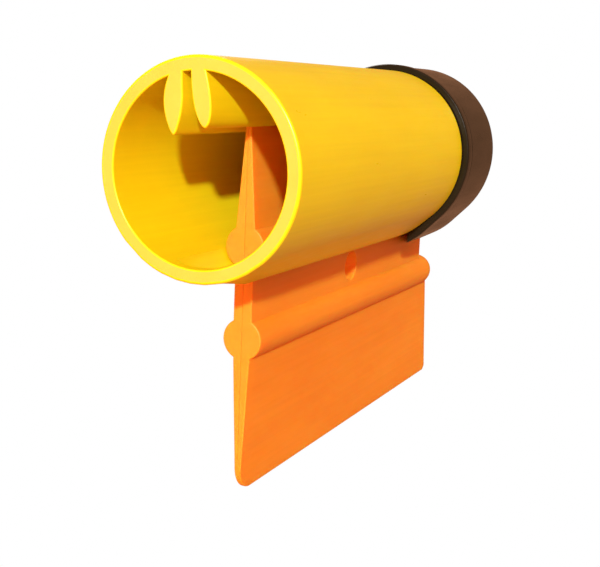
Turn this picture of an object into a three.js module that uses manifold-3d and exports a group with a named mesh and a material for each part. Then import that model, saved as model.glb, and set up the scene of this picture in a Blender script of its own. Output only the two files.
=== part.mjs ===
// Tubular pheromone trap: a yellow barrel with clip ribs, an orange keel that slides in a slot
// along the barrel's underside, a push-on end cap, and the lure in its carrier.
// Millimetres, +Z up. The mouth of the barrel faces -Y and the cap is at the +Y end.
import * as THREE from 'three';
import { mergeVertices } from 'three/addons/utils/BufferGeometryUtils.js';
import Module from 'manifold-3d';

const wasm = await Module();
wasm.setup();

// ---------- driving dimensions ----------
const GAP = 0.3;                 // clearance between pieces that touch or slide

// barrel
const BARREL_R = 20;             // outer radius
const BORE_R = 17.3;             // inner radius
const BARREL_END = 116.4;        // rear end, hidden in the cap
const SPIGOT_START = 93;         // the cap's seat starts here
const SPIGOT_STEP = 0.6;         // the seat is this much smaller all round
const RIM_DEPTH = 2.7;           // the slot stops this far behind the mouth
const CHIN_X = -0.5;             // middle of the thickened underside, or chin
const CHIN_HALF = 8.7;           // half its width at the corners where its sides turn in
const CHIN_CORNER = 19.4;        // how far below the axis those corners are
const CHIN_DROP = 22;            // its lowest point
const CHIN_START = 16;           // the chin grows out of the round mouth up to here
const RIB_END = 88;              // how far back the two clip ribs run
const ARC_STEPS = 96;            // steps round the upper arc of the barrel's and the cap's outlines
const LOW_ARC_STEPS = 32;        // steps that close the round mouth below that arc

// keel
const KEEL_X = -1;               // its plane, a little off the barrel's axis
const KEEL_FRONT = 21;           // front face, set back from the mouth
const BLADE_TOP = 8.8;           // upper edge, held between the rib tips
const BLADE_END = 105;           // rear end of the blade and bead inside the barrel
const INNER_BEAD = [4.2, -15.8];    // radius, height
const OUTER_BEAD = [4.18, -34.2];
const NECK_HALF = 2;
const NECK_STEP = -22.6;         // the neck is cut down to this height under the cap
const NECK_END = 122.9;
const BEAD_END = 126.1;          // the outer bead ends in a dome behind this
const BEAD_DOME = 4.2;
const KEEL_BOTTOM = -65.8;
const BLADE_REAR_TOP = 129.7;    // the lower blade's rear edge leans back
const BLADE_REAR_BOTTOM = 138.2;
const CORNER_R = 5;              // rounded front corner at the bottom
const REAR_CHAMFER = 1.2;        // cut-off rear corner at the bottom
const TIE_HOLE_R = 3.5;
const TIE_HOLE = [72, -25.9];    // y, height

// end cap
const CAP_FRONT = 93.6;
const CAP_REAR = 118.6;
const CAP_FLOOR = 1.8;           // thickness of the closed end
const CAP_R = 21.1;
const CAP_BEAD = 0.4;            // the front rim stands proud by this much
const CAP_BEAD_WIDTH = 3.8;
const CAP_GROOVE_WIDTH = 0.9;
const CAP_EDGE = 0.8;            // bevel round the closed end
const CAP_CHIN_HALF = 9.6;
const CAP_CHIN_CORNER = 20.8;
const CAP_CHIN_DROP = 24.5;
const CAP_SLOT_EASE = 0.1;       // the cap's slot is this much wider on each side
const CAP_SLOT_TOP = -22.1;      // the slot through the closed end stops here
const NOTCH_HALF = 8.6;          // the cap's underside opens in a V ahead of its slot
const NOTCH_END = 110;
const NOTCH_TOP = -18.5;
const SLOT_HALF = NECK_HALF + GAP;
const FOOT_HALF = SLOT_HALF + 0.6;   // half the width of the flat foot under the slot

// lure
const LURE_START = 58;           // front of the carrier
const LURE_WIDTH = 16;
const LURE_TAB = [-3, -2.2];     // the two sides of the tab between the ribs
const LURE_AXIS = [-8.4, -1.2];  // x, height of the septum
const LURE_RING_R = 5.2;
const SEPTUM_R = 3.7;
const SEPTUM_LIP_R = 4.7;
const SEPTUM_LENGTH = 15;

const SLOT_LOW = -28;            // below every chin
const LENGTH = BLADE_REAR_BOTTOM;

// ---------- helpers ----------
function extrusion(outline, depth) {
  return new THREE.ExtrudeGeometry(outline, { depth, bevelEnabled: false, curveSegments: 24 });
}

// A bar with the outline's x and y as X and Z, running from y0 to y1 along Y.
function bar(outline, y0, y1) {
  const geometry = extrusion(outline, y1 - y0);
  geometry.rotateX(Math.PI / 2);
  geometry.translate(0, y1, 0);
  return geometry;
}

// A plate with the outline's x and y as Y and Z, running from x0 to x1 along X.
function plate(outline, x0, x1) {
  const geometry = extrusion(outline, x1 - x0);
  geometry.rotateX(Math.PI / 2);
  geometry.rotateZ(Math.PI / 2);
  geometry.translate(x0, 0, 0);
  return geometry;
}

function solid(geometry) {
  const bare = geometry.clone();
  bare.deleteAttribute('normal');
  bare.deleteAttribute('uv');
  const merged = mergeVertices(bare, 1e-4);
  return new wasm.Manifold(new wasm.Mesh({
    numProp: 3,
    vertProperties: new Float32Array(merged.attributes.position.array),
    triVerts: new Uint32Array(merged.index.array),
  }));
}

function join(...pieces) {
  return pieces.reduce((sum, piece) => sum.add(piece));
}

function geometryOf(manifold) {
  const mesh = manifold.getMesh();
  const geometry = new THREE.BufferGeometry();
  geometry.setAttribute('position', new THREE.BufferAttribute(new Float32Array(mesh.vertProperties), 3));
  geometry.setIndex(new THREE.BufferAttribute(new Uint32Array(mesh.triVerts), 1));
  geometry.computeVertexNormals();
  return geometry;
}

function disc(radius, x = 0, z = 0) {
  const shape = new THREE.Shape();
  shape.absarc(x, z, radius, 0, Math.PI * 2, false);
  return shape;
}

function box(x0, x1, z0, z1) {
  return polygon([[x0, z0], [x1, z0], [x1, z1], [x0, z1]]);
}

function polygon(points) {
  return new THREE.Shape(points.map(([x, y]) => new THREE.Vector2(x, y)));
}

// A circle with a chin, like a drop: straight sides leave the circle at a tangent, turn in at the
// chin's two corners and meet a narrow flat foot under the slot. Step shrinks the whole outline.
function drop(radius, half, corner, depth, step = 0) {
  const r = radius - step;
  const scale = 1 - step / Math.hypot(half, corner);
  const low = -corner * scale;
  const right = CHIN_X + half * scale;
  const left = CHIN_X - half * scale;
  const start = tangentAngle(r, right, low);
  const end = Math.PI - tangentAngle(r, -left, low);
  return polygon([
    [KEEL_X + FOOT_HALF, step - depth], [right, low],
    ...arcPoints(r, start, end, ARC_STEPS),
    [left, low], [KEEL_X - FOOT_HALF, step - depth],
  ]);
}

// A whole circle that shares the points of the drop's upper arc.
function roundMouth(radius, half, corner) {
  const start = tangentAngle(radius, CHIN_X + half, -corner);
  const end = Math.PI - tangentAngle(radius, half - CHIN_X, -corner);
  const upper = arcPoints(radius, start, end, ARC_STEPS);
  const lower = arcPoints(radius, end, start + 2 * Math.PI, LOW_ARC_STEPS);
  return polygon([...upper, ...lower.slice(1, -1)]);
}

function arcPoints(radius, start, end, steps) {
  const points = [];
  for (let i = 0; i <= steps; i += 1) {
    const angle = start + ((end - start) * i) / steps;
    points.push([radius * Math.cos(angle), radius * Math.sin(angle)]);
  }
  return points;
}

// Where a line from the point (x, z) touches the right side of a circle about the origin.
function tangentAngle(radius, x, z) {
  return Math.atan2(z, x) + Math.acos(radius / Math.hypot(x, z));
}

// ---------- barrel ----------
// Two leaf-shaped ribs hang from the crown of the bore. Their facing sides are the clip's jaws.
function ribOutlines() {
  const left = new THREE.Shape();
  left.moveTo(-6.1, 18);
  left.lineTo(-6.28, 16.2);
  left.quadraticCurveTo(-8.1, 11.8, -6, 7.4);
  left.quadraticCurveTo(-5.4, 6.1, -4.94, 6);
  left.quadraticCurveTo(-4.4, 6.3, -4, 7.8);
  left.quadraticCurveTo(-3, 10.8, -3.3, 14);
  left.lineTo(-3.4, 18);
  left.closePath();
  const right = new THREE.Shape();
  right.moveTo(-1.8, 18);
  right.lineTo(-1.74, 16.8);
  right.quadraticCurveTo(-1.4, 11.4, 0.16, 8.5);
  right.quadraticCurveTo(0.5, 7.9, 1.3, 7.5);
  right.quadraticCurveTo(2.1, 8, 2.36, 9.3);
  right.quadraticCurveTo(2.9, 12, 1.3, 16.9);
  right.lineTo(1.2, 18);
  right.closePath();
  return [left, right];
}

function barrel() {
  const body = drop(BARREL_R, CHIN_HALF, CHIN_CORNER, CHIN_DROP);
  const seat = drop(BARREL_R, CHIN_HALF, CHIN_CORNER, CHIN_DROP, SPIGOT_STEP);
  const mouth = roundMouth(BARREL_R, CHIN_HALF, CHIN_CORNER);
  const tube = wasm.Manifold.hull([
    solid(bar(mouth, 0, RIM_DEPTH)),
    solid(bar(body, CHIN_START, SPIGOT_START)),
  ]);
  const groove = disc(INNER_BEAD[0] + GAP, KEEL_X, INNER_BEAD[1]);
  const slot = box(KEEL_X - SLOT_HALF, KEEL_X + SLOT_HALF, SLOT_LOW, INNER_BEAD[1]);
  const shell = join(tube, solid(bar(seat, SPIGOT_START - 1, BARREL_END)))
    .subtract(solid(bar(disc(BORE_R), -1, BARREL_END + 1)))
    .subtract(solid(bar(groove, RIM_DEPTH, BARREL_END + 1)))
    .subtract(solid(bar(slot, RIM_DEPTH, BARREL_END + 1)));
  const ribs = ribOutlines().map((outline) => solid(bar(outline, 0, RIB_END)));
  return join(shell, ...ribs);
}

// ---------- keel ----------
// An outline that is the same on both sides of the keel's plane, from its right side.
function mirrored(side) {
  const right = side.map(([x, z]) => [KEEL_X + x, z]);
  const left = side.map(([x, z]) => [KEEL_X - x, z]).reverse();
  return polygon([...right, ...left]);
}

function keel() {
  const [innerR, innerZ] = INNER_BEAD;
  const [outerR, outerZ] = OUTER_BEAD;
  const upper = mirrored([[2.07, -14], [2.07, -12.3], [1.48, -4.7], [0.5, BLADE_TOP]]);
  const web = mirrored([[NECK_HALF, NECK_STEP - 1], [NECK_HALF, innerZ]]);
  const neck = mirrored([[NECK_HALF, outerZ], [NECK_HALF, NECK_STEP]]);
  const lower = mirrored([[0.5, KEEL_BOTTOM], [0.85, -57.7], [1.42, -46.5], [1.8, -38.6], [1.8, -34.2]]);
  const side = new THREE.Shape();
  side.moveTo(KEEL_FRONT, outerZ);
  side.lineTo(KEEL_FRONT, KEEL_BOTTOM + CORNER_R);
  side.absarc(KEEL_FRONT + CORNER_R, KEEL_BOTTOM + CORNER_R, CORNER_R, Math.PI, 1.5 * Math.PI, false);
  side.lineTo(BLADE_REAR_BOTTOM - REAR_CHAMFER, KEEL_BOTTOM);
  side.lineTo(BLADE_REAR_BOTTOM, KEEL_BOTTOM + REAR_CHAMFER);
  side.lineTo(BLADE_REAR_TOP, outerZ - 2);
  side.lineTo(BLADE_REAR_TOP, outerZ);
  side.closePath();
  const fin = solid(bar(lower, KEEL_FRONT - 1, LENGTH)).intersect(solid(plate(side, -10, 10)));
  const hole = solid(plate(disc(TIE_HOLE_R, TIE_HOLE[0], TIE_HOLE[1]), -10, 10));
  return join(
    solid(bar(upper, KEEL_FRONT, BLADE_END)),
    solid(bar(disc(innerR, KEEL_X, innerZ), KEEL_FRONT, BLADE_END)),
    solid(bar(web, KEEL_FRONT, BLADE_END)),
    solid(bar(neck, KEEL_FRONT, NECK_END)),
    solid(bar(disc(outerR, KEEL_X, outerZ), KEEL_FRONT, BEAD_END)),
    solid(beadDome()),
    fin,
  ).subtract(hole);
}

// The rounded rear end of the outer bead.
function beadDome() {
  const radius = OUTER_BEAD[0] - 0.02;
  const steps = 8;
  const profile = [new THREE.Vector2(0, -1), new THREE.Vector2(radius, -1)];
  for (let i = 0; i < steps; i += 1) {
    const angle = (Math.PI / 2) * (i / steps);
    profile.push(new THREE.Vector2(radius * Math.cos(angle), BEAD_DOME * Math.sin(angle)));
  }
  profile.push(new THREE.Vector2(0, BEAD_DOME));
  const geometry = new THREE.LatheGeometry(profile, 48);
  geometry.translate(KEEL_X, BEAD_END, OUTER_BEAD[1]);
  return geometry;
}

// ---------- end cap ----------
function capLayer(step, y0, y1) {
  return solid(bar(drop(CAP_R, CAP_CHIN_HALF, CAP_CHIN_CORNER, CAP_CHIN_DROP, step), y0, y1));
}

function endCap() {
  const beadEnd = CAP_FRONT + CAP_BEAD_WIDTH;
  const grooveEnd = beadEnd + CAP_GROOVE_WIDTH;
  const floorStart = CAP_REAR - CAP_FLOOR;
  const bore = drop(BARREL_R, CHIN_HALF, CHIN_CORNER, CHIN_DROP, SPIGOT_STEP - GAP);
  const slotLeft = KEEL_X - SLOT_HALF - CAP_SLOT_EASE;
  const slotRight = KEEL_X + SLOT_HALF + CAP_SLOT_EASE;
  const slot = box(slotLeft, slotRight, SLOT_LOW, INNER_BEAD[1]);
  const rearSlot = box(slotLeft, slotRight, SLOT_LOW, CAP_SLOT_TOP);
  const notchOutline = polygon([
    [KEEL_X - NOTCH_HALF, CAP_FRONT - 1], [KEEL_X + NOTCH_HALF, CAP_FRONT - 1],
    [slotRight, NOTCH_END], [slotLeft, NOTCH_END],
  ]);
  const notch = extrusion(notchOutline, NOTCH_TOP - SLOT_LOW);
  notch.translate(0, 0, SLOT_LOW);
  return join(
    capLayer(-CAP_BEAD, CAP_FRONT, beadEnd),
    capLayer(CAP_BEAD, beadEnd - 1, grooveEnd + 1),
    capLayer(0, grooveEnd, CAP_REAR - CAP_EDGE),
    capLayer(CAP_EDGE / 2, CAP_REAR - CAP_EDGE - 1, CAP_REAR - CAP_EDGE / 3),
    capLayer(CAP_EDGE, CAP_REAR - CAP_EDGE - 1, CAP_REAR),
  )
    .subtract(solid(bar(bore, CAP_FRONT - 1, floorStart)))
    .subtract(solid(bar(slot, CAP_FRONT - 1, floorStart)))
    .subtract(solid(notch))
    .subtract(solid(bar(rearSlot, CAP_FRONT - 1, CAP_REAR + 1)));
}

// ---------- lure ----------
// A tab that the ribs grip, a short web under the left rib, and a ring that holds the septum.
function lureCarrier() {
  const end = LURE_START + LURE_WIDTH;
  const ringStart = LURE_START + 4;
  const ringEnd = end - 4;
  const tab = solid(bar(box(...LURE_TAB, 3.2, 15.5), LURE_START, end));
  const web = solid(bar(box(LURE_AXIS[0], LURE_TAB[1], 3, 4.6), ringStart, ringEnd));
  const ring = solid(bar(disc(LURE_RING_R, ...LURE_AXIS), ringStart, ringEnd));
  const hole = solid(bar(disc(SEPTUM_R + GAP, ...LURE_AXIS), LURE_START, end));
  return join(tab, web, ring).subtract(hole);
}

// A rubber septum: a cup with a lip that rests against the front of the ring.
function lureSeptum() {
  const lip = 2.4;
  const wall = 1.3;
  const profile = [
    [0, 6], [SEPTUM_R - wall, 6], [SEPTUM_R - wall, 0], [SEPTUM_LIP_R - 0.5, 0],
    [SEPTUM_LIP_R, 0.5], [SEPTUM_LIP_R, lip - 0.4], [SEPTUM_R, lip],
    [SEPTUM_R, SEPTUM_LENGTH - 0.6], [SEPTUM_R - 0.6, SEPTUM_LENGTH], [0, SEPTUM_LENGTH],
  ];
  return new THREE.LatheGeometry(profile.map(([r, y]) => new THREE.Vector2(r, y)), 40);
}

// ---------- assembly ----------
const trap = new THREE.Group();
trap.position.set(0, -LENGTH / 2, -KEEL_BOTTOM);

function add(name, geometry, colour, roughness) {
  const material = new THREE.MeshStandardMaterial({ color: colour, roughness, metalness: 0 });
  const mesh = new THREE.Mesh(geometry, material);
  mesh.name = name;
  trap.add(mesh);
  return mesh;
}

add('barrel', geometryOf(barrel()), 0xf2df14, 0.35);
add('keel', geometryOf(keel()), 0xe86a1c, 0.4);
add('end_cap', geometryOf(endCap()), 0x2c2418, 0.3);
add('lure_carrier', geometryOf(lureCarrier()), 0xd8d8d0, 0.5);
const septum = add('lure_septum', lureSeptum(), 0x8f8f8a, 0.8);
septum.position.set(LURE_AXIS[0], LURE_START + 4 - 2.4 - GAP, LURE_AXIS[1]);

export default trap;
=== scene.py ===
"""Looks for the tubular insect trap: moulded barrel, sliding keel, push-on cap and lure.

The pieces are built in millimetres about the middle of the barrel's mouth, with the barrel's axis
along +Y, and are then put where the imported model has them.
"""
import math

import bmesh
import bpy
from mathutils import Matrix, Vector


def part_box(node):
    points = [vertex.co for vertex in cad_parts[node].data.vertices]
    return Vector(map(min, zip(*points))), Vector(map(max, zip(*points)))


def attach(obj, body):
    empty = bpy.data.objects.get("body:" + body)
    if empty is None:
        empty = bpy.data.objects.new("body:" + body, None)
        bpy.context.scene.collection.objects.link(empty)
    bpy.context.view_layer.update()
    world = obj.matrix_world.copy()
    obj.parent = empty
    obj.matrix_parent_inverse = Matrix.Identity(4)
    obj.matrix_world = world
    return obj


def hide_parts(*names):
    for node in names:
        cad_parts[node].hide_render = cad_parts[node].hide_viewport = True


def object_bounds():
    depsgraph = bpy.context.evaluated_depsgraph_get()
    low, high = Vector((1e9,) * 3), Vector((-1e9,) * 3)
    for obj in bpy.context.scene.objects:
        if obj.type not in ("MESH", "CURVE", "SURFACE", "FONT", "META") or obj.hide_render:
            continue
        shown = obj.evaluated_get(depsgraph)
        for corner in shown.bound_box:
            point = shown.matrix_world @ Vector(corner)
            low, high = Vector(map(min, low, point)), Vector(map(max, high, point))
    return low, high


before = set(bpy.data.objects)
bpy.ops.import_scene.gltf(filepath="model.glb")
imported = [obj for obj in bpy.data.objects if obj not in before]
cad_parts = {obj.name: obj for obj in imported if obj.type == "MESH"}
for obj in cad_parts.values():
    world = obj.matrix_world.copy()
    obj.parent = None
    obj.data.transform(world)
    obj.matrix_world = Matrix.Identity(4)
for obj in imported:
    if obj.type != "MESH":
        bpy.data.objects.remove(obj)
CAD_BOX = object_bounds()

MM = 0.001

# ---------- sizes in millimetres: lengths are from the mouth, heights from the axis ----------
BARREL_R = 20.0
BORE_R = 17.3
RIM_DEPTH = 2.7                   # the slot is closed up to here
RIM_ROUND = 0.55                  # of the mouth's outer edge
BORE_ROUND = 0.3                  # of the mouth's inner edge
SPIGOT_START = 93.0               # the cap's seat
SPIGOT_STEP = 0.6
SPIGOT_EDGE = 0.3
BARREL_END = 116.4
BARREL_END_EDGE = (0.4, 0.5)      # depth, length
RIB_END = 88.0
CHIN_X = -0.5
CHIN = (8.7, 19.4, 22.0)          # half width and depth of its corners, depth of its foot
CHIN_START = 16.0                 # it grows out of the round mouth up to here
CHIN_BEND = 3.0
KEEL_X = -1.0
SLOT_HALF = 2.3
SLOT_LIP = 0.4
FOOT_HALF = 2.9
FOOT_ROUND = 0.2
GROOVE = (4.5, -15.8)             # radius, height

KEEL_FRONT = 21.0
KEEL_SIDE = [(0.5, 8.8), (1.48, -4.7), (2.07, -12.3), (2.0, -19.5), (2.0, -30.5), (1.8, -38.6),
             (1.42, -46.5), (0.85, -57.7), (0.5, -65.8)]      # half width, height
KEEL_EDGE = 0.22
INNER_BEAD = (4.2, -15.8)         # radius, height
OUTER_BEAD = (4.18, -34.2)
BEAD_EDGE = 0.3
BEAD_END = 130.3
BEAD_DOME = 4.2
BLADE_END = 105.0
NECK_STEP = -22.6
NECK_END = 122.9
FIN_REAR = (129.7, 138.2)         # top and bottom of its rear edge
FIN_CUT = 1.2                     # of its lower rear corner
KEEL_TOP = 8.8
KEEL_TOP_R = 0.5
KEEL_BOTTOM = -65.8
KEEL_CORNER = 5.0
TIE_HOLE = (3.5, 72.0, -25.9)     # radius, distance from the mouth, height
PARTING = (0.12, 0.07)            # depth and half width of the line down the keel's front
PARTING_ENDS = (2.0, 7.0)         # below the keel's top, above its bottom

CAP_R = 21.1
CAP_CHIN = (9.6, 20.8, 24.5)
CAP_FRONT = 93.6
CAP_REAR = 118.6
CAP_FLOOR = 116.8
CAP_BORE_STEP = 0.3
CAP_BORE_EDGE = [(0.0, 0.4), (-0.1, 0.1), (-0.3, 0.0)]        # inward step, behind the front
CAP_OUTSIDE = [(0.15, 0.0), (-0.2, 0.12), (-0.4, 0.45), (-0.4, 3.0), (-0.28, 3.4), (0.0, 3.7),
               (0.32, 3.9), (0.4, 4.2), (0.3, 4.5), (0.08, 4.7), (0.0, 5.0), (0.0, 23.9),
               (0.1, 24.3), (0.32, 24.65), (0.62, 24.88), (1.0, 25.0), (2.6, 25.0), (2.85, 24.9),
               (3.1, 24.72)]
CAP_SLOT_HALF = 2.4
CAP_SLOT_TOP = -22.1
NOTCH = (8.6, 110.0, -18.5)       # half width at the front, rear end, top

LURE_START = 58.0
LURE_END = 74.0
LURE_TAB = (-3.0, -2.2)           # its two sides
TAB_HEIGHTS = (3.2, 15.5)
TAB_CUT = 1.0                     # of its upper corners
WEB_HEIGHTS = (3.0, 4.6)
CLIP_EDGE = 0.15
LURE_AXIS = (-8.4, -1.2)
LURE_RING = (4.0, 5.2)            # inner and outer radius
RING_INSET = 4.0                  # from the tab's ends
RING_EDGE = 0.4
SEPTUM = (3.7, 4.7, 15.0)         # radius, lip radius, length
SEPTUM_LIP = 2.4
SEPTUM_LIP_GAP = 0.3
SEPTUM_WALL = 1.3
SEPTUM_CUP = 6.0                  # depth

CUT_PAST = 1.0                    # how far a cut goes past the surface that it opens
CUT_BELOW = 4.0                   # how far a cut goes below the cap
CUT_HALF = 10.0                   # half width of a cut across the keel
BLANK_SPARE = 5.0                 # how far the keel's blank goes past its ends

# ---------- numbers of steps round curves ----------
ARC_STEPS = 128                   # round the barrel and the cap
BORE_STEPS = (40, 44)             # left of the ribs, right of them
SLOT_BRIDGE_STEPS = 10            # of the bore over the closed end of the slot
GROOVE_STEPS = 16                 # on each side
CORNER_STEPS = 5
CROWN_STEPS = 8
FIN_CORNER_STEPS = 12
HOLE_STEPS = 48
BEAD_STEPS = 72
BEAD_EDGE_STEPS = 4
DOME_STEPS = 12
RING_STEPS = 64
SEPTUM_STEPS = 56

# ---------- mesh limits ----------
BEVEL_ANGLE = 40                  # degrees
SMOOTH_ANGLE = 32
MERGE_MM = 0.002
SHORTEST_EDGE_MM = 0.001
TINY = 1e-6
LARGEST_CUT = 0.45                # of the side that a corner is cut from

# ---------- stage ----------
CAMERA_PLACE = (95.64, -166.13, 15.58)
CAMERA_TURN = (-0.4245, -0.1789, 0.0430)                      # yaw, pitch and roll in radians
CAMERA_LENS = 65.9
CAMERA_SENSOR = 36
LIGHT_TARGET = (0, 60, -10)
FLOOR_DROP = 1.2                  # metres below the trap, which hangs
FLOOR_HALF = 20

barrel_low, barrel_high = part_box("barrel")
ORIGIN = Vector((0.0, barrel_low.y, barrel_high.z - BARREL_R * MM))


def place(x, y, z):
    """A point in millimetres about the mouth, as a point of the frame in metres."""
    return ORIGIN + Vector((x, y, z)) * MM


# ---------- outlines, as lists of (x, z) ----------
def arc(centre, radius, start, end, steps):
    """Points along an arc, both ends included. Angles are in radians."""
    turn = [start + (end - start) * i / steps for i in range(steps + 1)]
    return [(centre[0] + radius * math.cos(a), centre[1] + radius * math.sin(a)) for a in turn]


def curve(a, control, b, steps):
    """Points along a quadratic curve from a to b, without a itself."""
    points = []
    for i in range(1, steps + 1):
        t = i / steps
        points.append(tuple((1 - t) ** 2 * a[k] + 2 * t * (1 - t) * control[k] + t * t * b[k]
                            for k in (0, 1)))
    return points


def rounded(before, corner, after, cut):
    """A corner cut back by a length on both sides and rounded with a quadratic curve."""
    ends = []
    for other in (before, after):
        reach = math.dist(corner, other)
        share = min(cut / reach, LARGEST_CUT)
        ends.append(tuple(corner[k] + (other[k] - corner[k]) * share for k in (0, 1)))
    return [ends[0]] + curve(ends[0], corner, ends[1], CORNER_STEPS)


def angle_of(point, centre=(0, 0)):
    return math.atan2(point[1] - centre[1], point[0] - centre[0])


def tangent_angle(radius, x, z):
    """The angle at which a line from (x, z) touches the right side of a circle about the axis."""
    return math.atan2(z, x) + math.acos(radius / math.hypot(x, z))


def meet(radius_a, centre, radius_b):
    """The points where circle a meets circle b, which is about the axis, the left one first."""
    d = math.hypot(*centre)
    a = (radius_a ** 2 - radius_b ** 2 + d * d) / (2 * d)
    h = math.sqrt(radius_a ** 2 - a * a)
    ux, uz = -centre[0] / d, -centre[1] / d
    return sorted((centre[0] + a * ux + side * h * uz, centre[1] + a * uz - side * h * ux)
                  for side in (1, -1))


def drop(radius, chin, step=0.0):
    """A circle with a chin, drawn in by a step. It is open at the middle of its foot, and runs
    from the right of the opening round to its left."""
    half, corner, depth = chin
    r = radius - step
    scale = 1 - step / math.hypot(half, corner)
    low = -corner * scale
    right = (CHIN_X + half * scale, low)
    left = (CHIN_X - half * scale, low)
    start = tangent_angle(r, *right)
    end = math.pi - tangent_angle(r, -left[0], low)
    foot = step - depth
    right_foot = (KEEL_X + FOOT_HALF, foot)
    left_foot = (KEEL_X - FOOT_HALF, foot)
    middle = (KEEL_X, foot)
    ring = arc((0, 0), r, start, end, ARC_STEPS)
    points = rounded(middle, right_foot, right, FOOT_ROUND)
    points += rounded(right_foot, right, ring[0], CHIN_BEND)
    points += ring
    points += rounded(ring[-1], left, left_foot, CHIN_BEND)
    points += rounded(left, left_foot, middle, FOOT_ROUND)
    return points


def round_mouth(loop):
    """The loop with the chin drawn up onto the barrel's circle."""
    return [(x, max(z, -math.sqrt(max(BARREL_R ** 2 - x * x, 0.0)))) for x, z in loop]


def offset(points, distance):
    """A closed loop moved to the left of its direction."""
    moved = []
    count = len(points)
    for i, point in enumerate(points):
        before = Vector(point) - Vector(points[i - 1])
        after = Vector(points[(i + 1) % count]) - Vector(point)
        normals = [Vector((-d.y, d.x)).normalized() for d in (before, after) if d.length > 1e-7]
        normal = sum(normals, Vector((0, 0))).normalized()
        lean = max(0.5, normal.dot(normals[0])) if normals else 1.0
        moved.append(tuple(Vector(point) + normal * (distance / lean)))
    return moved


def rib_left():
    """The left rib's outline from its root's left side round to its right side."""
    points = [(-6.28, 16.12)]
    points += curve(points[-1], (-8.1, 11.8), (-6.0, 7.4), 14)
    points += curve(points[-1], (-5.45, 6.15), (-4.94, 6.0), 6)
    points += curve(points[-1], (-4.45, 6.2), (-4.0, 7.8), 6)
    points += curve(points[-1], (-3.0, 10.8), (-3.3, 14.0), 8)
    points += [(-3.4, 16.96)]
    return points


def rib_right():
    """The right rib's outline, in the same direction."""
    points = [(-1.76, 17.21)]
    points += curve(points[-1], (-1.55, 11.2), (0.16, 8.5), 14)
    points += curve(points[-1], (0.6, 7.7), (1.3, 7.5), 6)
    points += curve(points[-1], (2.1, 7.9), (2.36, 9.3), 6)
    points += curve(points[-1], (2.9, 12.0), (1.25, 17.25), 12)
    return points


# ---------- mesh helpers ----------
def add_loop(bm, outline, y):
    return [bm.verts.new((x, y, z)) for x, z in outline]


def bridge(bm, first, second):
    """Quads between two closed loops with equal counts."""
    count = len(first)
    for i in range(count):
        j = (i + 1) % count
        bm.faces.new((first[i], first[j], second[j], second[i]))


def close_ends(bm, loops):
    bm.faces.new(loops[0])
    bm.faces.new(list(reversed(loops[-1])))


def loft(bm, sections):
    """Closed loops with equal counts, joined by quads. Each section is (outline, y)."""
    loops = [add_loop(bm, outline, y) for outline, y in sections]
    for first, second in zip(loops, loops[1:]):
        bridge(bm, first, second)
    return loops


def lathe(bm, profile, centre, segments, closed=False):
    """Turns a profile of (radius, y) about a line along Y. It starts and ends on the axis, or is
    closed."""
    rings = []
    for radius, y in profile:
        if radius < TINY:
            rings.append([bm.verts.new((centre[0], y, centre[1]))])
            continue
        rings.append(add_loop(bm, arc(centre, radius, 0, math.tau, segments)[:-1], y))
    pairs = list(zip(rings, rings[1:])) + ([(rings[-1], rings[0])] if closed else [])
    for first, second in pairs:
        for i in range(segments):
            j = (i + 1) % segments
            if len(first) == 1:
                bm.faces.new((first[0], second[j], second[i]))
            elif len(second) == 1:
                bm.faces.new((first[i], first[j], second[0]))
            else:
                bm.faces.new((first[i], first[j], second[j], second[i]))


def to_object(bm, name):
    """The mesh as an object, its millimetres turned into the frame's metres."""
    bmesh.ops.remove_doubles(bm, verts=bm.verts, dist=MERGE_MM)
    bmesh.ops.dissolve_degenerate(bm, edges=bm.edges, dist=SHORTEST_EDGE_MM)
    bmesh.ops.recalc_face_normals(bm, faces=bm.faces)
    mesh = bpy.data.meshes.new(name)
    bm.to_mesh(mesh)
    bm.free()
    mesh.transform(Matrix.Translation(ORIGIN) @ Matrix.Scale(MM, 4))
    piece = bpy.data.objects.new(name, mesh)
    bpy.context.scene.collection.objects.link(piece)
    return piece


def turned(name, profile, centre, segments, closed=False):
    bm = bmesh.new()
    lathe(bm, profile, centre, segments, closed)
    return to_object(bm, name)


def prism(name, outline, low, high, axis="x"):
    """A block between two planes across X, with an outline of (y, z), or between two planes
    across Z, with an outline of (x, y)."""
    bm = bmesh.new()
    loops = []
    for level in (low, high):
        loops.append([bm.verts.new((level, a, b) if axis == "x" else (a, b, level))
                      for a, b in outline])
    bridge(bm, *loops)
    close_ends(bm, loops)
    return to_object(bm, name)


def combine(piece, other, operation):
    """Applies an exact boolean to the piece and removes the other object."""
    cut = piece.modifiers.new("combine", "BOOLEAN")
    cut.operation = operation
    cut.solver = "EXACT"
    cut.object = other
    bake(piece)
    bpy.data.objects.remove(other)


def bake(piece):
    """Turns the piece's modifiers into mesh."""
    bpy.context.view_layer.update()
    evaluated = piece.evaluated_get(bpy.context.evaluated_depsgraph_get())
    mesh = bpy.data.meshes.new_from_object(evaluated)
    old = piece.data
    piece.modifiers.clear()
    piece.data = mesh
    bpy.data.meshes.remove(old)
    mesh.name = piece.name


def bevel(piece, width, segments=3):
    """Rounds the sharp edges over a width in millimetres."""
    edge = piece.modifiers.new("edges", "BEVEL")
    edge.width = width * MM
    edge.segments = segments
    edge.limit_method = "ANGLE"
    edge.angle_limit = math.radians(BEVEL_ANGLE)
    edge.use_clamp_overlap = False
    bake(piece)


def smooth(piece):
    """Smooth shading that keeps flat faces flat and corners crisp."""
    bm = bmesh.new()
    bm.from_mesh(piece.data)
    for face in bm.faces:
        face.smooth = True
    for edge in bm.edges:
        sharp = len(edge.link_faces) == 2 and edge.calc_face_angle(0) > math.radians(SMOOTH_ANGLE)
        edge.smooth = not sharp
    bm.to_mesh(piece.data)
    bm.free()
    weighted = piece.modifiers.new("weighted_normals", "WEIGHTED_NORMAL")
    weighted.keep_sharp = True
    weighted.weight = 80


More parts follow.
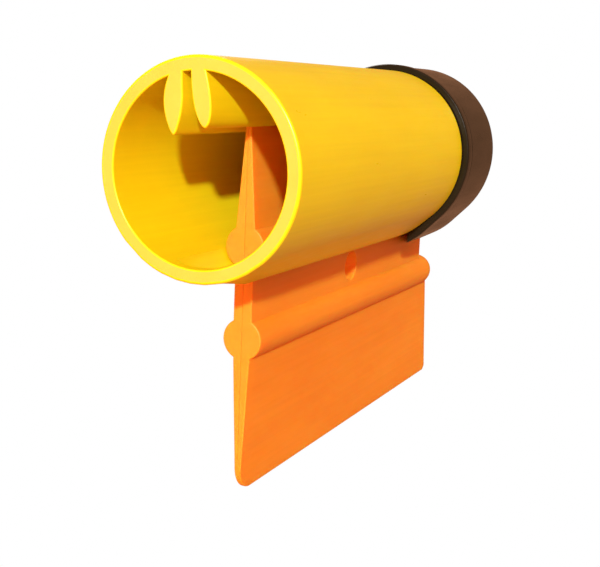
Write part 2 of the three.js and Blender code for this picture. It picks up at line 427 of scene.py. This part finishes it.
# ---------- materials ----------
class Nodes:
    """Short names for making a material's nodes."""

    def __init__(self, name):
        self.material = bpy.data.materials.new(name)
        self.material.use_nodes = True
        self.tree = self.material.node_tree
        self.shader = self.tree.nodes["Principled BSDF"]
        self.place = self.tree.nodes.new("ShaderNodeTexCoord").outputs["Object"]

    def link(self, a, b):
        self.tree.links.new(a, b)

    def noise(self, scale, detail, stretch=(1, 1, 1), roughness=0.55):
        """Noise whose scale is in bumps per metre, stretched along the axes."""
        mapping = self.tree.nodes.new("ShaderNodeMapping")
        mapping.inputs["Scale"].default_value = [1 / s for s in stretch]
        texture = self.tree.nodes.new("ShaderNodeTexNoise")
        texture.inputs["Scale"].default_value = scale
        texture.inputs["Detail"].default_value = detail
        texture.inputs["Roughness"].default_value = roughness
        self.link(self.place, mapping.inputs["Vector"])
        self.link(mapping.outputs["Vector"], texture.inputs["Vector"])
        return texture.outputs["Fac"]

    def ramp(self, factor, stops):
        """A colour that goes from one (position, colour) stop to the other."""
        ramp = self.tree.nodes.new("ShaderNodeValToRGB")
        for element, (position, colour) in zip(ramp.color_ramp.elements, stops):
            element.position = position
            element.color = (*colour, 1)
        self.link(factor, ramp.inputs["Fac"])
        return ramp.outputs["Color"]

    def between(self, noise, low, high):
        """A number from low to high, over the middle of the noise's range."""
        node = self.tree.nodes.new("ShaderNodeMapRange")
        node.inputs["From Min"].default_value = 0.3
        node.inputs["From Max"].default_value = 0.7
        node.inputs["To Min"].default_value = low
        node.inputs["To Max"].default_value = high
        self.link(noise, node.inputs["Value"])
        return node.outputs["Result"]

    def multiply(self, colour, shade):
        """The node's colour sockets share their names with others, so they go by number."""
        node = self.tree.nodes.new("ShaderNodeMix")
        node.data_type = "RGBA"
        node.blend_type = "MULTIPLY"
        node.inputs[0].default_value = 1.0
        self.link(colour, node.inputs[6])
        self.link(shade, node.inputs[7])
        return node.outputs[2]

    def bump(self, *layers):
        """Each layer is (height, distance in millimetres, strength)."""
        previous = None
        for height, distance, strength in layers:
            node = self.tree.nodes.new("ShaderNodeBump")
            node.inputs["Distance"].default_value = distance * MM
            node.inputs["Strength"].default_value = strength
            self.link(height, node.inputs["Height"])
            if previous is not None:
                self.link(previous, node.inputs["Normal"])
            previous = node.outputs["Normal"]
        self.link(previous, self.shader.inputs["Normal"])


def moulded_plastic(name, deep, light, rough, coat=0.0, streak=0.06, translucent=0.0, reach=0.0,
                    specular=0.35):
    """Coloured plastic with flow lines along Y, a faint mottle and a fine skin texture. It goes
    from the deep colour to the light one, and light travels inside it by a reach in millimetres."""
    n = Nodes(name)
    mottle = n.noise(scale=55, detail=5, stretch=(1, 2.5, 1))
    colour = n.ramp(mottle, [(0.32, deep), (0.68, light)])
    lines = n.noise(scale=900, detail=3, stretch=(1, 60, 1))
    shade = n.between(lines, 1 - streak, 1.0)
    n.link(n.multiply(colour, shade), n.shader.inputs["Base Color"])
    skin = n.noise(scale=2600, detail=3)
    scuffs = n.noise(scale=260, detail=6, stretch=(1, 5, 1), roughness=0.7)
    n.link(n.between(scuffs, rough - 0.05, rough + 0.08), n.shader.inputs["Roughness"])
    n.bump((skin, 0.02, 0.35), (lines, 0.03, 0.4), (mottle, 0.15, 0.35))
    n.shader.inputs["IOR"].default_value = 1.5
    n.shader.inputs["Specular IOR Level"].default_value = specular
    n.shader.inputs["Coat Weight"].default_value = coat
    n.shader.inputs["Coat Roughness"].default_value = 0.12
    if translucent:
        n.shader.inputs["Subsurface Weight"].default_value = translucent
        n.shader.inputs["Subsurface Scale"].default_value = reach * MM
        n.shader.inputs["Subsurface Radius"].default_value = (1.0, 0.15, 0.03)
    return n.material


def rubber(name, colour):
    """Matt rubber with a fine grain."""
    n = Nodes(name)
    grain = n.noise(scale=1800, detail=6)
    n.link(n.ramp(grain, [(0.3, tuple(c * 0.8 for c in colour)), (0.7, colour)]),
           n.shader.inputs["Base Color"])
    n.link(n.between(grain, 0.7, 0.85), n.shader.inputs["Roughness"])
    n.bump((grain, 0.05, 0.6))
    return n.material


YELLOW = moulded_plastic("yellow_plastic", (0.74, 0.62, 0.004), (0.78, 0.68, 0.007), rough=0.32,
                         coat=0.06, translucent=0.15, reach=3.0)
# plastic for the mouth's flat front face: its paler, less yellow colour is partly a rough cut face
# and partly a painted sheen
YELLOW_CUT_SHEEN = moulded_plastic("yellow_cut_face_painted_sheen", (0.46, 0.47, 0.050), (0.50, 0.52, 0.07), rough=0.5,
                             streak=0.02, translucent=0.15, reach=3.0)
ORANGE = moulded_plastic("orange_plastic", (0.76, 0.25, 0.014), (0.80, 0.30, 0.020), rough=0.5,
                         translucent=0.6, reach=8.0)
DARK = moulded_plastic("dark_plastic", (0.008, 0.007, 0.003), (0.014, 0.012, 0.006), rough=0.22,
                       streak=0.12, specular=0.22)
WHITE = moulded_plastic("white_plastic", (0.66, 0.66, 0.62), (0.74, 0.74, 0.70), rough=0.42,
                        streak=0.03)
GREY_RUBBER = rubber("grey_rubber", (0.30, 0.30, 0.28))


def finish_piece(piece, materials, body, node):
    """Shades the piece, says what it is made of and what it rides on, and hides the imported part
    that it stands for.
    """
    for material in materials:
        piece.data.materials.append(material)
    smooth(piece)
    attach(piece, body)
    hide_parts(node)


# ---------- barrel ----------
def make_barrel():
    groove_r, groove_z = GROOVE
    groove = (KEEL_X, groove_z)
    left_edge, right_edge = meet(groove_r, groove, BORE_R)
    foot = -CHIN[2]
    on_wall = foot + 2                # a height on the slot's straight walls
    left_x, right_x = KEEL_X - SLOT_HALF, KEEL_X + SLOT_HALF

    outer = drop(BARREL_R, CHIN)
    outer[0] = (right_x + SLOT_LIP, foot)
    outer[-1] = (left_x - SLOT_LIP, foot)

    inner = arc((0, 0), BORE_R, angle_of(left_edge) + math.tau, angle_of(rib_left()[0]),
                BORE_STEPS[0])
    ribs = [len(inner) - 1]
    inner += rib_left()[1:]
    ribs.append(len(inner) - 1)
    inner += rib_right()
    ribs.append(len(inner) - 1)
    inner += arc((0, 0), BORE_R, angle_of(rib_right()[-1]), angle_of(right_edge),
                 BORE_STEPS[1])[1:]

    slot_angle = math.asin(SLOT_HALF / groove_r)
    down = -math.pi / 2
    left_wall = rounded((left_x - 2 * SLOT_LIP, foot), (left_x, foot), (left_x, on_wall),
                        SLOT_LIP)[1:]
    left_wall += arc(groove, groove_r, down - slot_angle, angle_of(left_edge, groove),
                     GROOVE_STEPS)[:-1]
    right_wall = arc(groove, groove_r, angle_of(right_edge, groove), down + slot_angle,
                     GROOVE_STEPS)[1:]
    right_wall += rounded((right_x, on_wall), (right_x, foot), (right_x + 2 * SLOT_LIP, foot),
                          SLOT_LIP)[:-1]

    # the mouth's rim, where the slot is closed: two rounded edges and a flat face between them
    foot_bridge = [(KEEL_X, foot)]
    bore_bridge = arc((0, 0), BORE_R, angle_of(right_edge), angle_of(left_edge),
                      SLOT_BRIDGE_STEPS)[1:-1]
    bm = bmesh.new()
    edges = []
    for loop, radius in ((round_mouth(outer + foot_bridge), RIM_ROUND),
                         (inner + bore_bridge, BORE_ROUND)):
        sections = []
        for i in range(CORNER_STEPS + 1):
            turn = math.pi / 2 * (1 - i / CORNER_STEPS)
            sections.append((offset(loop, radius * (1 - math.cos(turn))),
                             radius * (1 - math.sin(turn))))
        sections.append((loop, RIM_DEPTH))
        front = loft(bm, sections)[0]
        edges += [bm.edges.get((front[i - 1], front[i])) for i in range(len(loop))]
    face = bmesh.ops.triangle_fill(bm, edges=edges, use_beauty=True, use_dissolve=False)
    for item in face["geom"]:
        if isinstance(item, bmesh.types.BMFace):
            # the flat front face takes the cut-face plastic, whose pale colour is partly a painted
            # sheen
            item.material_index = 1

    # the wall that closes the slot's front end, seen from inside the slot
    ledge = [outer[-1]] + foot_bridge + [outer[0]] + right_wall[::-1] + [right_edge]
    ledge += bore_bridge + [left_edge] + left_wall[::-1]
    bm.faces.new(add_loop(bm, round_mouth(ledge), RIM_DEPTH))

    body = outer + left_wall + inner + right_wall
    first_inner = len(outer) + len(left_wall)

    def seat(step):
        """The body's loop with its outer side and the slot's lips drawn in, for the cap."""
        loop = offset(body, step)
        for i, (x, z) in enumerate(body):
            if len(outer) <= i < len(outer) + CORNER_STEPS or i >= len(body) - CORNER_STEPS:
                loop[i] = (x, z + step)
            elif i >= len(outer):
                loop[i] = (x, z)
        return loop

    def without_ribs(loop):
        """The loop with both ribs drawn up into the crown."""
        flat = list(loop)
        for first, last in ((ribs[0], ribs[1]), (ribs[1] + 1, ribs[2])):
            start, end = angle_of(inner[first]), angle_of(inner[last])
            for i in range(first, last + 1):
                turn = start + (end - start) * (i - first) / (last - first)
                flat[first_inner + i] = (BORE_R * math.cos(turn), BORE_R * math.sin(turn))
        return flat

    edge_depth, edge_length = BARREL_END_EDGE
    rear = loft(bm, [(round_mouth(body), RIM_DEPTH), (body, CHIN_START), (body, RIB_END),
                     (without_ribs(body), RIB_END),
                     (without_ribs(body), SPIGOT_START - SPIGOT_EDGE),
                     (without_ribs(seat(SPIGOT_EDGE)), SPIGOT_START),
                     (without_ribs(seat(SPIGOT_STEP)), SPIGOT_START),
                     (without_ribs(seat(SPIGOT_STEP)), BARREL_END - edge_length),
                     (without_ribs(seat(SPIGOT_STEP + edge_depth)), BARREL_END)])[-1]
    bm.faces.new(list(reversed(rear)))
    piece = to_object(bm, "barrel_shell")
    finish_piece(piece, [YELLOW, YELLOW_CUT_SHEEN], "barrel", "barrel")


# ---------- keel ----------
def bead_profile(radius, end, dome):
    """A round bar with a small edge at the front and a dome of the given height at the rear."""
    start = KEEL_FRONT
    profile = [(0, start)]
    for i in range(BEAD_EDGE_STEPS + 1):
        turn = math.pi / 2 * i / BEAD_EDGE_STEPS
        profile.append((radius - BEAD_EDGE + BEAD_EDGE * math.sin(turn),
                        start + BEAD_EDGE - BEAD_EDGE * math.cos(turn)))
    inset = min(dome, radius)
    for i in range(DOME_STEPS + 1):
        turn = math.pi / 2 * i / DOME_STEPS
        profile.append((radius - inset + inset * math.cos(turn),
                        end - dome + dome * math.sin(turn)))
    if profile[-1][0] > TINY:
        profile.append((0, end))
    return profile


def make_keel():
    right = [(KEEL_X + x, z) for x, z in KEEL_SIDE]
    left = [(KEEL_X - x, z) for x, z in reversed(KEEL_SIDE)]
    crown = arc((KEEL_X, KEEL_TOP - KEEL_TOP_R), KEEL_TOP_R, math.pi, 0, CROWN_STEPS)
    outline = crown + right[1:] + left[:-1]
    bm = bmesh.new()
    close_ends(bm, loft(bm, [(outline, KEEL_FRONT - BLANK_SPARE),
                             (outline, FIN_REAR[1] + BLANK_SPARE)]))
    piece = to_object(bm, "keel_blade")

    corner = (KEEL_FRONT + KEEL_CORNER, KEEL_BOTTOM + KEEL_CORNER)
    in_bead = OUTER_BEAD[1] - 2       # a height that the outer bead covers
    side = [(KEEL_FRONT, KEEL_TOP + CUT_PAST)]
    side += arc(corner, KEEL_CORNER, math.pi, 1.5 * math.pi, FIN_CORNER_STEPS)
    side += [(FIN_REAR[1] - FIN_CUT, KEEL_BOTTOM), (FIN_REAR[1], KEEL_BOTTOM + FIN_CUT),
             (FIN_REAR[0], in_bead), (NECK_END, in_bead), (NECK_END, NECK_STEP),
             (BLADE_END, NECK_STEP), (BLADE_END, KEEL_TOP + CUT_PAST)]
    combine(piece, prism("side", side, -CUT_HALF, CUT_HALF), "INTERSECT")
    radius, y, z = TIE_HOLE
    hole = arc((y, z), radius, 0, math.tau, HOLE_STEPS)[:-1]
    combine(piece, prism("hole", hole, -CUT_HALF, CUT_HALF), "DIFFERENCE")
    bevel(piece, KEEL_EDGE)

    for (radius, z), end, dome in ((INNER_BEAD, BLADE_END, BEAD_EDGE),
                                   (OUTER_BEAD, BEAD_END, BEAD_DOME)):
        bead = turned("bead", bead_profile(radius, end, dome), (KEEL_X, z), BEAD_STEPS)
        combine(piece, bead, "UNION")
    depth, half = PARTING
    top, bottom = KEEL_TOP - PARTING_ENDS[0], KEEL_BOTTOM + PARTING_ENDS[1]
    line = [(KEEL_FRONT - CUT_PAST, top), (KEEL_FRONT + depth, top),
            (KEEL_FRONT + depth, bottom), (KEEL_FRONT - CUT_PAST, bottom)]
    combine(piece, prism("parting", line, KEEL_X - half, KEEL_X + half), "DIFFERENCE")
    finish_piece(piece, [ORANGE], "keel", "keel")


# ---------- end cap ----------
def make_cap():
    sections = [(drop(BARREL_R, CHIN, CAP_BORE_STEP), CAP_FLOOR)]
    sections += [(drop(BARREL_R, CHIN, CAP_BORE_STEP + step), CAP_FRONT + y)
                 for step, y in CAP_BORE_EDGE]
    sections += [(drop(CAP_R, CAP_CHIN, step), CAP_FRONT + y) for step, y in CAP_OUTSIDE]
    bm = bmesh.new()
    close_ends(bm, loft(bm, sections))
    piece = to_object(bm, "cap_shell")
    front, rear = CAP_FRONT - CUT_PAST, CAP_REAR + CUT_PAST
    low = -CAP_CHIN[2] - CUT_BELOW
    left_x, right_x = KEEL_X - CAP_SLOT_HALF, KEEL_X + CAP_SLOT_HALF
    slot = [(front, low), (rear, low), (rear, CAP_SLOT_TOP), (CAP_FLOOR, CAP_SLOT_TOP),
            (CAP_FLOOR, INNER_BEAD[1]), (front, INNER_BEAD[1])]
    combine(piece, prism("slot", slot, left_x, right_x), "DIFFERENCE")
    half, notch_end, notch_top = NOTCH
    notch = [(KEEL_X - half, front), (KEEL_X + half, front), (right_x, notch_end),
             (left_x, notch_end)]
    combine(piece, prism("notch", notch, low, notch_top, "z"), "DIFFERENCE")
    finish_piece(piece, [DARK], "end_cap", "end_cap")


# ---------- lure ----------
def make_carrier():
    ring_start, ring_end = LURE_START + RING_INSET, LURE_END - RING_INSET
    edge = RING_EDGE
    inner, outer = LURE_RING
    ring = [(inner, ring_start + edge), (inner + edge, ring_start), (outer - edge, ring_start),
            (outer, ring_start + edge), (outer, ring_end - edge), (outer - edge, ring_end),
            (inner + edge, ring_end), (inner, ring_end - edge)]
    piece = turned("lure_clip", ring, LURE_AXIS, RING_STEPS, closed=True)
    low, high = TAB_HEIGHTS
    outline = [(LURE_START, low), (LURE_END, low), (LURE_END, high - TAB_CUT),
               (LURE_END - TAB_CUT, high), (LURE_START + TAB_CUT, high),
               (LURE_START, high - TAB_CUT)]
    tab = prism("tab", outline, *LURE_TAB)
    bevel(tab, CLIP_EDGE, segments=2)
    low, high = WEB_HEIGHTS
    outline = [(ring_start, low), (ring_end, low), (ring_end, high), (ring_start, high)]
    web = prism("web", outline, LURE_AXIS[0], LURE_TAB[1])
    bevel(web, CLIP_EDGE, segments=2)
    combine(tab, web, "UNION")
    combine(piece, tab, "UNION")
    finish_piece(piece, [WHITE], "lure", "lure_carrier")


def make_septum():
    radius, lip, length = SEPTUM
    start = LURE_START + RING_INSET - SEPTUM_LIP - SEPTUM_LIP_GAP
    cup = radius - SEPTUM_WALL
    # from the cup's bottom out over the lip and back along the outside, with small edge roundings
    profile = [(0, SEPTUM_CUP), (cup - 0.5, SEPTUM_CUP), (cup, SEPTUM_CUP - 0.5), (cup, 0.4),
               (cup + 0.3, 0.0), (lip - 0.6, 0.0), (lip - 0.2, 0.15), (lip, 0.6), (lip, 1.8),
               (lip - 0.2, 2.2), (radius + 0.2, SEPTUM_LIP), (radius, 2.6), (radius, length - 0.9),
               (radius - 0.3, length - 0.3), (radius - 0.9, length), (0, length)]
    piece = turned("septum_cup", [(r, start + y) for r, y in profile], LURE_AXIS,
                   SEPTUM_STEPS)
    finish_piece(piece, [GREY_RUBBER], "lure", "lure_septum")


make_barrel()
make_keel()
make_cap()
make_carrier()
make_septum()


# ---------- stage, camera and light ----------
def direction(yaw, pitch):
    """A unit vector that points along +Y when both angles are 0."""
    return Vector((math.sin(yaw) * math.cos(pitch), math.cos(yaw) * math.cos(pitch),
                   math.sin(pitch)))


def make_camera():
    yaw, pitch, roll = CAMERA_TURN
    forward = direction(yaw, pitch)
    flat = Vector((math.cos(yaw), -math.sin(yaw), 0))
    up = flat.cross(forward)
    right = flat * math.cos(roll) + up * math.sin(roll)
    top = up * math.cos(roll) - flat * math.sin(roll)
    data = bpy.data.cameras.new("camera")
    data.sensor_width = CAMERA_SENSOR
    data.lens = CAMERA_LENS
    data.clip_start = 0.01
    data.clip_end = 50
    camera = bpy.data.objects.new("camera", data)
    turn = Matrix((right, top, -forward)).transposed()
    camera.matrix_world = Matrix.Translation(place(*CAMERA_PLACE)) @ turn.to_4x4()
    bpy.context.scene.collection.objects.link(camera)
    bpy.context.scene.camera = camera


def add_light(name, kind, energy, colour, towards_light, distance):
    """A light at a distance in metres from the trap, which shines on it."""
    data = bpy.data.lights.new(name, kind)
    data.energy = energy
    data.color = colour
    lamp = bpy.data.objects.new(name, data)
    towards = Vector(towards_light).normalized()
    lamp.location = place(*LIGHT_TARGET) + towards * distance
    lamp.rotation_euler = towards.to_track_quat("Z", "Y").to_euler()
    bpy.context.scene.collection.objects.link(lamp)
    return lamp


def add_soft_light(name, watts, colour, towards_light, distance, width):
    """A round lamp with a width in metres."""
    lamp = add_light(name, "AREA", watts, colour, towards_light, distance)
    lamp.data.shape = "DISK"
    lamp.data.size = width
    return lamp


def make_world():
    """Warm soft light from all round, and plain white where the camera looks past the trap."""
    world = bpy.data.worlds.new("world")
    world.use_nodes = True
    tree = world.node_tree
    soft = tree.nodes["Background"]
    soft.inputs["Color"].default_value = (1.0, 0.44, 0.22, 1)
    soft.inputs["Strength"].default_value = 0.5
    white = tree.nodes.new("ShaderNodeBackground")
    white.inputs["Color"].default_value = (1, 1, 1, 1)
    white.inputs["Strength"].default_value = 1.0
    path = tree.nodes.new("ShaderNodeLightPath")
    both = tree.nodes.new("ShaderNodeMixShader")
    tree.links.new(path.outputs["Is Camera Ray"], both.inputs["Fac"])
    tree.links.new(soft.outputs["Background"], both.inputs[1])
    tree.links.new(white.outputs["Background"], both.inputs[2])
    tree.links.new(both.outputs["Shader"], tree.nodes["World Output"].inputs["Surface"])
    bpy.context.scene.world = world


def make_lights():
    """A main light from the front right, a warm fill from the front and a light from behind."""
    main = add_light("main", "SUN", energy=4.6, colour=(1.0, 0.975, 0.94),
                     towards_light=(0.385, -0.843, 0.38), distance=2)
    main.data.angle = math.radians(2.5)
    fill = add_soft_light("fill", watts=26, colour=(1.0, 0.32, 0.18),
                          towards_light=(0.1, -0.98, 0.1), distance=1.2, width=2.4)
    fill.visible_glossy = False
    add_soft_light("back", watts=9, colour=(1.0, 0.93, 0.84),
                   towards_light=(-0.7, 0.6, 0.45), distance=1.5, width=1.2)


def make_floor():
    """A plain white floor that shines on nothing and shows in no reflection."""
    n = Nodes("pale_floor")
    n.shader.inputs["Base Color"].default_value = (0, 0, 0, 1)
    n.shader.inputs["Specular IOR Level"].default_value = 0
    n.shader.inputs["Emission Color"].default_value = (1, 1, 1, 1)
    n.shader.inputs["Emission Strength"].default_value = 1.0
    low = CAD_BOX[0].z - FLOOR_DROP
    bm = bmesh.new()
    bm.faces.new([bm.verts.new((x * FLOOR_HALF, y * FLOOR_HALF, low))
                  for x, y in ((-1, -1), (1, -1), (1, 1), (-1, 1))])
    mesh = bpy.data.meshes.new("floor")
    bm.to_mesh(mesh)
    bm.free()
    mesh.materials.append(n.material)
    floor = bpy.data.objects.new("floor", mesh)
    bpy.context.scene.collection.objects.link(floor)
    floor.visible_diffuse = False
    floor.visible_glossy = False


make_camera()
make_lights()
make_world()
make_floor()
bpy.context.scene.view_settings.view_transform = "Standard"
